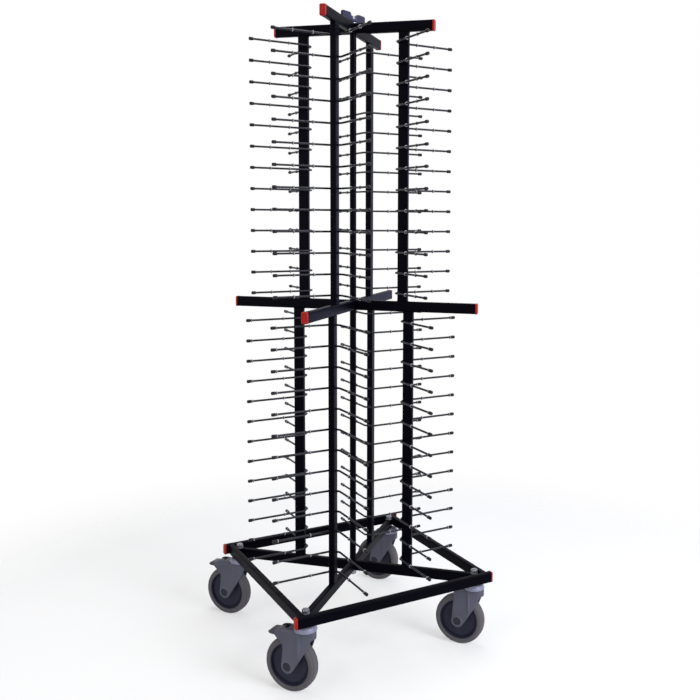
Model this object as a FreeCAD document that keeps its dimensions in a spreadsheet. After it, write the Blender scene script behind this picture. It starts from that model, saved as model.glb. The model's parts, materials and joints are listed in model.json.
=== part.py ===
import FreeCAD
import Part
import os
import re
import Sketcher

V = FreeCAD.Vector
UP = V(0, 0, 1)
doc = FreeCAD.newDocument("plate_rack_trolley")

# Driving sizes in millimetres and degrees
SIZES = [
    ("tube_w", 17.0, "tube width"),
    ("tube_h", 30.0, "tube height"),
    ("tube_wall", 1.5, "tube wall"),
    ("base_depth", 610.0, "base size across the capped rails"),
    ("rail_over", 6.0, "capped rail end past the base size, each end"),
    ("side_gap", 14.5, "capped rail end to the side rail's outer face"),
    ("diagonal_drop", 7.0, "diagonal underside below the rail underside"),
    ("castor_height", 190.0, "floor to the underside of the diagonals"),
    ("post_len", 772.0, "length of every post and centre tube"),
    ("upper_radius", 154.0, "upper posts from the centre line"),
    ("lower_radius", 172.0, "lower posts from the centre line"),
    ("bumper_half", 379.0, "bumper cross half length with cap"),
    ("top_half", 245.0, "top cross half length with cap"),
    ("cap_head", 6.0, "end cap head thickness"),
    ("cap_lip", 0.75, "end cap head past the tube, each side"),
    ("cap_plug", 10.0, "end cap plug inside the tube"),
    ("centre_od", 19.0, "centre tube outside diameter"),
    ("centre_id", 15.0, "centre tube inside diameter"),
    ("rod_dia", 6.0, "plate rod diameter"),
    ("rod_flat", 13.0, "half of the rod's flat back to the bend corner"),
    ("rod_bend", 8.0, "rod bend radius"),
    ("rod_leg", 175.0, "bend corner to rod end"),
    ("rod_first", 24.0, "post foot to first rod"),
    ("rod_pitch", 60.0, "rod spacing"),
    ("rod_levels", 13.0, "rod levels on a post"),
    ("tip_dia", 9.6, "tip cap diameter"),
    ("tip_socket", 9.0, "tip cap socket depth"),
    ("tip_end", 3.0, "tip cap end wall"),
    ("ring_dia", 10.0, "stop ring outside diameter"),
    ("ring_width", 2.6, "stop ring width"),
    ("inner_upper", 58.0, "upper inner rings from the bend corner"),
    ("inner_lower", 64.0, "lower inner rings from the bend corner"),
    ("outer_upper", 117.0, "upper outer rings from the bend corner"),
    ("outer_lower", 162.0, "lower outer rings from the bend corner"),
    ("clear_run", 0.05, "radial running clearance"),
    ("clear_face", 0.1, "face running clearance"),
    ("stem_dia", 12.0, "tie rod and castor stem diameter"),
    ("nut_across", 18.0, "nut across flats"),
    ("nut_height", 10.0, "nut height"),
    ("washer_dia", 22.0, "washer diameter"),
    ("washer_thick", 2.0, "washer thickness"),
    ("thread_over", 1.5, "thread past a nut"),
    ("knob_width", 110.0, "wing knob width"),
    ("knob_height", 27.0, "wing knob height"),
    ("knob_hub", 24.0, "wing knob hub diameter"),
    ("knob_thick", 13.0, "wing thickness"),
    ("knob_lobe", 34.0, "level top of each wing"),
    ("knob_waist", 10.0, "height between the wings"),
    ("knob_heading", 29.0, "heading of the wings"),
    ("rod_stub", 9.0, "tie rod end over the knob's waist"),
    ("nut_room", 0.5, "castor washer to the side rail"),
    ("castor_heading", 126.0, "heading of the trailing wheels"),
    ("castor_trail", 42.5, "castor trail"),
    ("cup_dia", 62.0, "swivel cup diameter"),
    ("cup_height", 15.0, "swivel cup height"),
    ("crown_height", 20.0, "fork crown height"),
    ("nose_back", 5.0, "centre of the fork's round nose ahead of the castor axis"),
    ("crown_back", 54.0, "fork crown's back edge behind the castor axis"),
    ("king_dia", 16.0, "king pin diameter"),
    ("king_head", 26.0, "king pin head diameter"),
    ("king_head_h", 4.0, "king pin head height"),
    ("tyre_room", 4.9, "fork crown's underside to the tyre"),
    ("wheel_width", 33.0, "wheel width"),
    ("tyre_edge", 5.0, "tyre edge chamfer"),
    ("tyre_thick", 16.0, "tyre thickness on the hub"),
    ("hub_web", 16.0, "hub web thickness"),
    ("hub_boss", 36.0, "hub boss diameter"),
    ("hub_rim", 9.0, "hub rim depth"),
    ("fork_gap", 40.0, "gap between the fork legs"),
    ("leg_thick", 7.0, "fork leg thickness"),
    ("leg_boss", 19.0, "fork leg boss radius"),
    ("axle_dia", 12.0, "axle diameter"),
    ("axle_head", 20.0, "axle head diameter"),
    ("axle_head_h", 3.0, "axle head height"),
    ("pin_dia", 6.0, "pedal pin diameter"),
    ("pin_out", 66.0, "pedal pin behind the castor axis"),
    ("pin_below", 17.0, "pedal pin below the crown top"),
    ("pedal_width", 37.0, "pedal width"),
    ("pedal_reach", 41.0, "pedal pin to pedal tip"),
]
sheet = doc.addObject("Spreadsheet::Sheet", "Sizes")
for row, (alias, value, text) in enumerate(SIZES, 1):
    sheet.set("A%d" % row, alias)
    sheet.set("B%d" % row, str(value))
    sheet.set("C%d" % row, text)
    sheet.setAlias("B%d" % row, alias)
doc.recompute()

# Worked-out sizes that several pieces share
DERIVED = [
    ("half_w", "=tube_w / 2"),
    ("half_h", "=tube_h / 2"),
    ("base_len", "=base_depth + 2 * rail_over"),
    ("rail_y", "=base_depth / 2 - half_w"),
    ("rail_in", "=base_depth / 2 - tube_w"),
    ("side_x", "=base_len / 2 - side_gap - half_w"),
    ("side_in", "=side_x - half_w"),
    ("castor_at", "=side_in - washer_dia / 2 - nut_room"),
    ("diag_top", "=castor_height + tube_h"),
    ("rail_z", "=castor_height + diagonal_drop"),
    ("bumper_z", "=diag_top + post_len"),
    ("upper_foot", "=bumper_z + tube_h"),
    ("top_z", "=upper_foot + post_len"),
    ("frame_top", "=top_z + tube_h"),
    ("rod_r", "=rod_dia / 2"),
    ("back_upper", "=upper_radius - half_h - rod_r"),
    ("back_lower", "=lower_radius - half_h - rod_r"),
    ("side_upper", "=(back_upper - rod_flat) * sqrt(0.5)"),
    ("side_lower", "=(back_lower - rod_flat) * sqrt(0.5)"),
    ("bend_upper", "=(back_upper + rod_flat) * sqrt(0.5)"),
    ("bend_lower", "=(back_lower + rod_flat) * sqrt(0.5)"),
    ("rods_low", "=diag_top + rod_first"),
    ("rods_high", "=upper_foot + rod_first"),
    ("rod_run", "=(rod_levels - 1) * rod_pitch"),
    ("stem_hole", "=stem_dia / 2 + clear_run"),
    ("crown_top", "=castor_height - cup_height - clear_face"),
    ("crown_low", "=crown_top - crown_height"),
    ("wheel_dia", "=crown_low - tyre_room"),
    ("hub_dia", "=wheel_dia - 2 * tyre_thick"),
    ("axle_z", "=wheel_dia / 2"),
    ("pin_z", "=crown_top - pin_below"),
    ("leg_out", "=fork_gap / 2 + leg_thick"),
]
for row, (alias, formula) in enumerate(DERIVED, len(SIZES) + 2):
    sheet.set("A%d" % row, alias)
    sheet.set("B%d" % row, formula)
    sheet.setAlias("B%d" % row, alias)
doc.recompute()
NAMES = sorted((a for a, *_ in SIZES + DERIVED), key=len, reverse=True)
WORD = re.compile(r"\b(" + "|".join(NAMES) + r")\b")


def ex(text):
    """Turn size words into sheet references."""
    return WORD.sub(r"Sizes.\1", str(text))


def bind(obj, **props):
    """Bind properties to expressions; double underscores stand for dots."""
    for prop, text in props.items():
        obj.setExpression(prop.replace("__", "."), ex(text))
    return obj


def place(obj, x="0", y="0", z="0", turn=None, axis=UP):
    """Bind a placement: a point, and a turn in degrees about one axis."""
    if turn is not None:
        obj.Placement = FreeCAD.Placement(V(), FreeCAD.Rotation(axis, 1))
        obj.setExpression("Placement.Rotation.Angle", ex(turn))
    for key, text in zip("xyz", (x, y, z)):
        obj.setExpression("Placement.Base." + key, ex(text))
    return obj


def box(name, size, low, turn=None):
    """A block from its three lengths and its low corner."""
    obj = doc.addObject("Part::Box", name)
    bind(obj, Length=size[0], Width=size[1], Height=size[2])
    return place(obj, *low, turn=turn)


def drum(name, radius, height, at, axis=None):
    """A cylinder from its base point; axis x or y lays it along that line."""
    obj = doc.addObject("Part::Cylinder", name)
    bind(obj, Radius=radius, Height=height)
    if axis == "x":
        return place(obj, *at, turn="90", axis=V(0, 1, 0))
    if axis == "y":
        return place(obj, *at, turn="90", axis=V(-1, 0, 0))
    return place(obj, *at)


def fuse(name, *shapes):
    obj = doc.addObject("Part::MultiFuse", name)
    obj.Shapes = list(shapes)
    return obj


def cut(name, base, *tools):
    """Take one or several tools away from a base."""
    obj = doc.addObject("Part::Cut", name)
    obj.Base = base
    obj.Tool = tools[0] if len(tools) == 1 else fuse(name + "_tools", *tools)
    return obj


def group(name, shapes):
    obj = doc.addObject("Part::Compound", name)
    obj.Links = list(shapes)
    return obj


def plane(body, role):
    return next(f for f in body.Origin.OriginFeatures if f.Role == role)


def outline(body, name, role, at, points):
    """A closed polygon sketch; every corner is held by two bound distances."""
    sk = body.newObject("Sketcher::SketchObject", name)
    sk.AttachmentSupport = [(plane(body, role), "")]
    sk.MapMode = "FlatFace"
    for key, text in zip("xyz", at):
        sk.setExpression("AttachmentOffset.Base." + key, ex(text))
    probe = [(value(x), value(y)) for x, y in points]
    count = len(points)
    for i in range(count):
        a, b = probe[i], probe[(i + 1) % count]
        sk.addGeometry(Part.LineSegment(V(a[0], a[1], 0), V(b[0], b[1], 0)))
    for i in range(count):
        sk.addConstraint(Sketcher.Constraint("Coincident", i, 2, (i + 1) % count, 1))
    for i, (x, y) in enumerate(points):
        for kind, text, now in (("DistanceX", x, probe[i][0]), ("DistanceY", y, probe[i][1])):
            if abs(now) < 1e-9 and str(text) == "0":
                line = -2 if kind == "DistanceX" else -1
                sk.addConstraint(Sketcher.Constraint("PointOnObject", i, 1, line))
                continue
            k = sk.addConstraint(Sketcher.Constraint(kind, -1, 1, i, 1, now))
            sk.setExpression("Constraints[%d]" % k, ex(text))
    return sk


def value(text):
    """Present value of a size expression, for a sketch's first guess."""
    names = {a: float(sheet.get(a)) for a in NAMES if re.search(r"\b%s\b" % a, str(text))}
    return measure(str(text), names)


def measure(text, names):
    """Add, subtract, multiply and divide a plain expression."""
    tokens = re.findall(r"[A-Za-z_]+|\d+\.?\d*|[-+*/()]", text)

    def atom():
        tok = tokens.pop(0)
        if tok == "-":
            return -atom()
        if tok == "(":
            out = total()
            tokens.pop(0)
            return out
        return names[tok] if tok in names else float(tok)

    def term():
        out = atom()
        while tokens and tokens[0] in "*/":
            if tokens.pop(0) == "*":
                out *= atom()
            else:
                out /= atom()
        return out

    def total():
        out = term()
        while tokens and tokens[0] in "+-":
            if tokens.pop(0) == "+":
                out += term()
            else:
                out -= term()
        return out

    return total()


def new_body(name):
    body = doc.addObject("PartDesign::Body", name)
    body.Label = name
    if hasattr(body, "AllowCompound"):
        body.AllowCompound = True
    return body


def spin(body, name, sketch):
    """A full turn of a sketch about its own upright axis."""
    obj = body.newObject("PartDesign::Revolution", name)
    obj.Profile = sketch
    obj.ReferenceAxis = (sketch, ["V_Axis"])
    obj.Angle = 360.0
    sketch.Visibility = False
    return obj


def pad(body, name, sketch, length):
    obj = body.newObject("PartDesign::Pad", name)
    obj.Profile = sketch
    obj.setExpression("Length", ex(length))
    sketch.Visibility = False
    return obj


def repeat(body, name, originals, mirror=False, quarter=False):
    """Repeat features up the levels, across the middle plane and round the four sides."""
    many = body.newObject("PartDesign::MultiTransform", name)
    many.Originals = list(originals)
    steps = []
    if mirror:
        mir = body.newObject("PartDesign::Mirrored", name + "_mirror")
        mir.MirrorPlane = (plane(body, "YZ_Plane"), [""])
        steps.append(mir)
    lin = body.newObject("PartDesign::LinearPattern", name + "_levels")
    lin.Direction = (plane(body, "Z_Axis"), [""])
    lin.setExpression("Length", ex("rod_run"))
    lin.setExpression("Occurrences", ex("rod_levels"))
    steps.append(lin)
    if quarter:
        pol = body.newObject("PartDesign::PolarPattern", name + "_sides")
        pol.Axis = (plane(body, "Z_Axis"), [""])
        pol.Angle = 360.0
        pol.Occurrences = 4
        steps.append(pol)
    many.Transformations = steps
    body.Tip = many
    return many


NODES = []


def node(obj, name):
    obj.Label = name
    NODES.append(obj)
    return obj


# Corner names and the direction of each arm
CORNERS = [("front_left", 225, -1, -1), ("front_right", 315, 1, -1),
           ("rear_left", 135, -1, 1), ("rear_right", 45, 1, 1)]


def bar(name, start, end, z, turn, holes=(), y="0"):
    """A tube lying along its own x line, from start to end, with upright holes."""
    out = box(name + "_out", ("(%s) - (%s)" % (end, start), "tube_w", "tube_h"), (start, "-half_w", "0"))
    run = "(%s) - (%s) + 2" % (end, start)
    core = box(name + "_in", (run, "tube_w - 2 * tube_wall", "tube_h - 2 * tube_wall"),
               ("(%s) - 1" % start, "tube_wall - half_w", "tube_wall"))
    tools = [core]
    for k, at in enumerate(holes):
        tools.append(drum("%s_hole%d" % (name, k), "stem_hole", "tube_h + 2", (at, "0", "-1")))
    obj = cut(name, out, *tools)
    return place(obj, "0", y, z, turn=str(turn))


# Base rails: two capped rails and two side rails between them
for tag, sign in (("front", -1), ("rear", 1)):
    node(bar("base_rail_" + tag, "-base_len / 2 + cap_head", "base_len / 2 - cap_head", "rail_z", 0,
             y="%d * rail_y" % sign), "base_rail_" + tag)
for tag, sign in (("left", -1), ("right", 1)):
    rail = bar("base_rail_" + tag, "-rail_in", "rail_in", "rail_z", 90)
    place(rail, "%d * side_x" % sign, "0", "rail_z", turn="90")
    node(rail, "base_rail_" + tag)

# Base diagonals: one through bar and two half bars, cut to the inside of the rails
def inside(name):
    return box(name, ("2 * side_in", "2 * rail_in", "castor_height + 2 * tube_h"),
               ("-side_in", "-rail_in", "0"))


far = "castor_at * sqrt(2)"
for tag, start, end, turn, holes in (
        ("main", "-base_len", "base_len", 45, ("0", far, "-" + far)),
        ("left", "half_w", "base_len", 135, (far,)),
        ("right", "half_w", "base_len", 315, (far,))):
    raw = bar("diagonal_%s_bar" % tag, start, end, "castor_height", turn, holes)
    trimmed = doc.addObject("Part::MultiCommon", "base_diagonal_" + tag)
    trimmed.Shapes = [raw, inside("diagonal_%s_trim" % tag)]
    node(trimmed, "base_diagonal_" + tag)


# Posts: four on the diagonals, four nearer in on the bumper cross
def post(name, radius, foot, turn):
    out = box(name + "_out", ("tube_h", "tube_w", "post_len"), ("%s - half_h" % radius, "-half_w", "0"))
    core = box(name + "_in", ("tube_h - 2 * tube_wall", "tube_w - 2 * tube_wall", "post_len + 2"),
               ("%s - half_h + tube_wall" % radius, "tube_wall - half_w", "-1"))
    return place(cut(name, out, core), "0", "0", foot, turn=str(turn))


for tag, turn, sx, sy in CORNERS:
    node(post("lower_post_" + tag, "lower_radius", "diag_top", turn), "lower_post_" + tag)
for tag, turn, sx, sy in CORNERS:
    node(post("upper_post_" + tag, "upper_radius", "upper_foot", turn), "upper_post_" + tag)

# Bumper cross and top cross: one through bar and two half bars each
for tag, half, z in (("bumper", "bumper_half", "bumper_z"), ("top", "top_half", "top_z")):
    tube_end = "%s - cap_head" % half
    node(bar(tag + "_bar", "-(%s)" % tube_end, tube_end, z, 315, ("0",)), tag + "_bar")
    node(bar(tag + "_arm_front", "half_w", tube_end, z, 225), tag + "_arm_front")
    node(bar(tag + "_arm_rear", "half_w", tube_end, z, 45), tag + "_arm_rear")


# Red end caps: a thin head over each open tube end and a plug inside the tube
def end_cap(name, tip, z, turn, y="0"):
    """Plug cap whose head's outer face is at tip along the bar."""
    head = box(name + "_head", ("cap_head", "tube_w + 2 * cap_lip", "tube_h + 2 * cap_lip"),
               ("%s - cap_head" % tip, "-half_w - cap_lip", "-cap_lip"))
    plug = box(name + "_plug", ("cap_plug", "tube_w - 2 * tube_wall", "tube_h - 2 * tube_wall"),
               ("%s - cap_head - cap_plug" % tip, "tube_wall - half_w", "tube_wall"))
    return place(fuse(name, head, plug), "0", y, z, turn=str(turn))


caps = []
for tag, sign in (("front", -1), ("rear", 1)):
    caps.append(end_cap("cap_%s_right" % tag, "base_len / 2", "rail_z", 0, "%d * rail_y" % sign))
    caps.append(end_cap("cap_%s_left" % tag, "base_len / 2", "rail_z", 180, "%d * rail_y" % sign))
for level, half, z in (("bumper", "bumper_half", "bumper_z"), ("top", "top_half", "top_z")):
    for tag, turn, sx, sy in CORNERS:
        caps.append(end_cap("cap_%s_%s" % (level, tag), half, z, turn))
node(group("end_caps", caps), "end_caps")

# Centre tubes and the tie rod that clamps both sections to the base
for tag, foot in (("lower", "diag_top"), ("upper", "upper_foot")):
    tube = cut(tag + "_centre_tube", drum(tag + "_centre_out", "centre_od / 2", "post_len", ("0", "0", "0")),
               drum(tag + "_centre_in", "centre_id / 2", "post_len + 2", ("0", "0", "-1")))
    node(place(tube, "0", "0", foot), tag + "_centre_tube")
rod_foot = "castor_height - washer_thick - nut_height - thread_over"
node(drum("tie_rod", "stem_dia / 2", "frame_top + washer_thick + knob_waist + rod_stub - (%s)" % rod_foot,
          ("0", "0", rod_foot)), "tie_rod")


# Washers and hexagon nuts, alike on the castor stems and the tie rod
def washer(name, x, y, z):
    obj = cut(name, drum(name + "_out", "washer_dia / 2", "washer_thick", ("0", "0", "0")),
              drum(name + "_in", "stem_hole", "washer_thick + 2", ("0", "0", "-1")))
    return place(obj, x, y, z)


def hex_nut(name, x, y, z):
    six = doc.addObject("Part::Prism", name + "_out")
    six.Polygon = 6
    bind(six, Circumradius="nut_across / sqrt(3)", Height="nut_height")
    obj = cut(name, six, drum(name + "_in", "stem_hole", "nut_height + 2", ("0", "0", "-1")))
    return place(obj, x, y, z)


rings = [washer("washer_top", "0", "0", "frame_top"),
         washer("washer_foot", "0", "0", "castor_height - washer_thick")]
nuts = [hex_nut("nut_foot", "0", "0", "castor_height - washer_thick - nut_height")]
for tag, turn, sx, sy in CORNERS:
    x, y = "%d * castor_at" % sx, "%d * castor_at" % sy
    rings.append(washer("washer_" + tag, x, y, "diag_top"))
    nuts.append(hex_nut("nut_" + tag, x, y, "diag_top + washer_thick"))
node(group("washers", rings), "washers")
node(group("hex_nuts", nuts), "hex_nuts")

# Wing knob on the tie rod's top end
hub = drum("knob_hub_drum", "knob_hub / 2", "knob_waist", ("0", "0", "0"))
wings = new_body("knob_wings")
half_wing = [("knob_hub / 2", "knob_waist"), ("knob_width / 2 - knob_lobe", "knob_height"),
             ("knob_width / 2 - 4", "knob_height"), ("knob_width / 2", "knob_height - 4"),
             ("knob_width / 2", "6"), ("knob_width / 2 - 4", "2"), ("knob_hub / 2", "1")]
other_wing = [("-(%s)" % x, z) for x, z in reversed(half_wing)]
wing_sketch = outline(wings, "knob_wing_outline", "XZ_Plane", ("0", "0", "-knob_thick / 2"),
                      half_wing + other_wing)
pad(wings, "knob_wing_pad", wing_sketch, "knob_thick")
knob = cut("wing_knob", fuse("knob_solid", hub, wings),
           drum("knob_bore", "stem_hole", "knob_height + 2", ("0", "0", "-1")))
node(place(knob, "0", "0", "frame_top + washer_thick + clear_face", turn="knob_heading"), "wing_knob")

# Plate rods: one bent rod behind each post at each level, both legs running out
def rods(name, tag, low):
    """The front left rod's centre line, swept, then repeated up the posts and round the four corners."""
    body = new_body(name)
    path = body.newObject("Sketcher::SketchObject", name + "_path")
    path.AttachmentSupport = [(plane(body, "XY_Plane"), "")]
    path.MapMode = "FlatFace"
    path.setExpression("AttachmentOffset.Base.z", ex(low))
    side, bend, turn, leg = (value(k) for k in ("side_" + tag, "bend_" + tag, "rod_bend", "rod_leg"))
    trim = turn * 0.41421356
    near = bend - trim * 0.5 ** 0.5
    wide = side + trim * 0.5 ** 0.5
    tip, start, end = V(-side, -bend - leg, 0), V(-side, -bend - trim, 0), V(-wide, -near, 0)
    middle = V(-side - turn, -bend - trim, 0)
    arc_mid = middle + (V(-side, -bend, 0) - middle).normalize() * turn

    def swap(p):
        return V(p.y, p.x, 0)

    path.addGeometry(Part.LineSegment(tip, start))
    path.addGeometry(Part.Arc(start, arc_mid, end))
    path.addGeometry(Part.LineSegment(end, swap(end)))
    path.addGeometry(Part.Arc(swap(end), swap(arc_mid), swap(start)))
    path.addGeometry(Part.LineSegment(swap(start), swap(tip)))
    con = Sketcher.Constraint

    def at(geo, point):
        return 1 if path.getPoint(geo, 1).distanceToPoint(point) < 1e-6 else 2

    path.addConstraint(con("Tangent", 0, 2, 1, at(1, start)))
    path.addConstraint(con("Tangent", 1, at(1, end), 2, 1))
    path.addConstraint(con("Tangent", 2, 2, 3, at(3, swap(end))))
    path.addConstraint(con("Tangent", 3, at(3, swap(start)), 4, 1))
    path.addConstraint(con("Vertical", 0))
    path.addConstraint(con("Horizontal", 4))
    path.addConstraint(con("Equal", 1, 3))
    held = path.addConstraint(con("Radius", 1, turn))
    path.setExpression("Constraints[%d]" % held, ex("rod_bend"))
    out = "-(bend_%s + rod_leg)" % tag
    corner = "-(bend_%s + rod_bend * 0.41421356)" % tag
    for kind, geo, pos, text in (("DistanceX", 0, 1, "-side_" + tag), ("DistanceY", 0, 1, out),
                                 ("DistanceX", 4, 2, out), ("DistanceY", 4, 2, "-side_" + tag),
                                 ("DistanceY", 1, 3, corner), ("DistanceX", 3, 3, corner)):
        point = path.getPoint(geo, pos)
        held = path.addConstraint(con(kind, -1, 1, geo, pos, point.x if kind == "DistanceX" else point.y))
        path.setExpression("Constraints[%d]" % held, ex(text))
    section = body.newObject("Sketcher::SketchObject", name + "_section")
    section.AttachmentSupport = [(plane(body, "XZ_Plane"), "")]
    section.MapMode = "FlatFace"
    for key, text in zip("xyz", ("-side_" + tag, low, "bend_%s + rod_leg" % tag)):
        section.setExpression("AttachmentOffset.Base." + key, ex(text))
    section.addGeometry(Part.Circle(V(), UP, value("rod_r")))
    section.addConstraint(con("Coincident", 0, 3, -1, 1))
    held = section.addConstraint(con("Radius", 0, value("rod_r")))
    section.setExpression("Constraints[%d]" % held, ex("rod_r"))
    doc.recompute()
    pipe = body.newObject("PartDesign::AdditivePipe", name + "_rod")
    pipe.Profile = section
    pipe.Spine = (path, ["Edge1", "Edge2", "Edge3", "Edge4", "Edge5"])
    doc.recompute()
    repeat(body, name + "_rows", [pipe], quarter=True)
    return place(body)


node(rods("lower_rods", "lower", "rods_low"), "lower_rods")
node(rods("upper_rods", "upper", "rods_high"), "upper_rods")

# Tip caps on every rod end
tips = new_body("tip_caps")
marks = []
for tag in ("lower", "upper"):
    low = "rods_low" if tag == "lower" else "rods_high"
    sk = outline(tips, "tip_%s_outline" % tag, "XY_Plane",
                 ("-side_" + tag, "-(bend_%s + rod_leg)" % tag, low), [
        ("0", "0"), ("rod_r + clear_run", "0"), ("rod_r + clear_run", "tip_socket"),
        ("tip_dia / 2", "tip_socket"), ("tip_dia / 2", "-tip_end"), ("0", "-tip_end")])
    marks.append(spin(tips, "tip_%s_turned" % tag, sk))
doc.recompute()
repeat(tips, "tip_rows", marks, mirror=True, quarter=True)
node(tips, "tip_caps")

# Stop rings that slide along the rods: an inner and an outer set on each side
for side, turn in (("front", 0), ("right", 90), ("rear", 180), ("left", 270)):
    for which in ("inner", "outer"):
        name = "stop_rings_%s_%s" % (side, which)
        body = new_body(name)
        marks = []
        for tag in ("lower", "upper"):
            low = "rods_low" if tag == "lower" else "rods_high"
            sk = outline(body, "%s_%s_outline" % (name, tag), "XY_Plane",
                         ("-side_" + tag, "-(bend_%s + %s_%s)" % (tag, which, tag), low), [
                ("rod_r + clear_run", "-ring_width / 2"), ("ring_dia / 2", "-ring_width / 2"),
                ("ring_dia / 2", "ring_width / 2"), ("rod_r + clear_run", "ring_width / 2")])
            marks.append(spin(body, "%s_%s_turned" % (name, tag), sk))
        doc.recompute()
        repeat(body, name + "_rows", marks, mirror=True)
        node(place(body, turn=str(turn)), name)

# Castor stems and swivel cups, fixed under the ends of the diagonals
bolts = []
cups = []
for tag, turn, sx, sy in CORNERS:
    x, y = "%d * castor_at" % sx, "%d * castor_at" % sy
    shank_low = "castor_height - cup_height"
    head_low = "crown_low - clear_face - king_head_h"
    bolt = fuse("bolt_" + tag,
                drum("bolt_head_" + tag, "king_head / 2", "king_head_h", ("0", "0", head_low)),
                drum("bolt_king_" + tag, "king_dia / 2", "%s - crown_low + clear_face" % shank_low,
                     ("0", "0", "crown_low - clear_face")),
                drum("bolt_stem_" + tag, "stem_dia / 2",
                     "cup_height + tube_h + washer_thick + nut_height + thread_over", ("0", "0", shank_low)))
    bolts.append(place(bolt, x, y, "0"))
    cup = cut("cup_" + tag, drum("cup_out_" + tag, "cup_dia / 2", "cup_height", ("0", "0", shank_low)),
              drum("cup_in_" + tag, "stem_hole", "cup_height + 2", ("0", "0", shank_low + " - 1")))
    cups.append(place(cup, x, y, "0"))
node(group("castor_bolts", bolts), "castor_bolts")
node(group("castor_cups", cups), "castor_cups")

# Fork leg outlines in the castor's own frame: trail behind the axis, height over the floor
LEG_FRONT = [("-(nose_back + leg_out + 1)", "crown_top"), ("-(nose_back + leg_out + 1)", "crown_top - 13"),
             ("-(nose_back + leg_out - 6)", "crown_top - 20"), ("-18", "axle_z + 64"),
             ("-10.5", "axle_z + 49"), ("7", "axle_z + 20.5"),
             ("castor_trail - leg_boss * 0.875", "axle_z - leg_boss * 0.485"), ("castor_trail", "axle_z"),
             ("castor_trail + leg_boss", "axle_z"), ("castor_trail + leg_boss - 3", "axle_z + 10"),
             ("castor_trail + leg_boss - 6", "axle_z + 44")]
LEG_PLAIN = [("castor_trail + leg_boss - 5", "crown_top - 12"), ("castor_trail + leg_boss - 10", "crown_top")]
LEG_BRAKE = [("castor_trail + leg_boss - 3", "pin_z - 28.9"), ("pin_out - 3", "pin_z - 21"),
             ("pin_out + 3", "pin_z - 15.5"), ("pin_out + 12", "pin_z - 10.5"), ("pin_out + 18", "pin_z - 5"),
             ("pin_out + 20", "pin_z + 1"), ("pin_out + 17.5", "pin_z + 8"), ("pin_out + 10", "pin_z + 13.5"),
             ("castor_trail + leg_boss + 2", "crown_top")]
PEDAL = [("pin_out", "pin_z + 7"), ("pin_out + 14", "pin_z + 4.5"), ("pin_out + 34", "pin_z + 4"),
         ("pin_out + pedal_reach", "pin_z + 1"), ("pin_out + pedal_reach", "pin_z - 3"),
         ("pin_out + 35", "pin_z - 6"), ("pin_out + 19", "pin_z - 7"), ("pin_out + 15", "pin_z - 11.5"),
         ("pin_out + 8", "pin_z - 10.8"), ("pin_out", "pin_z - 7")]
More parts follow.
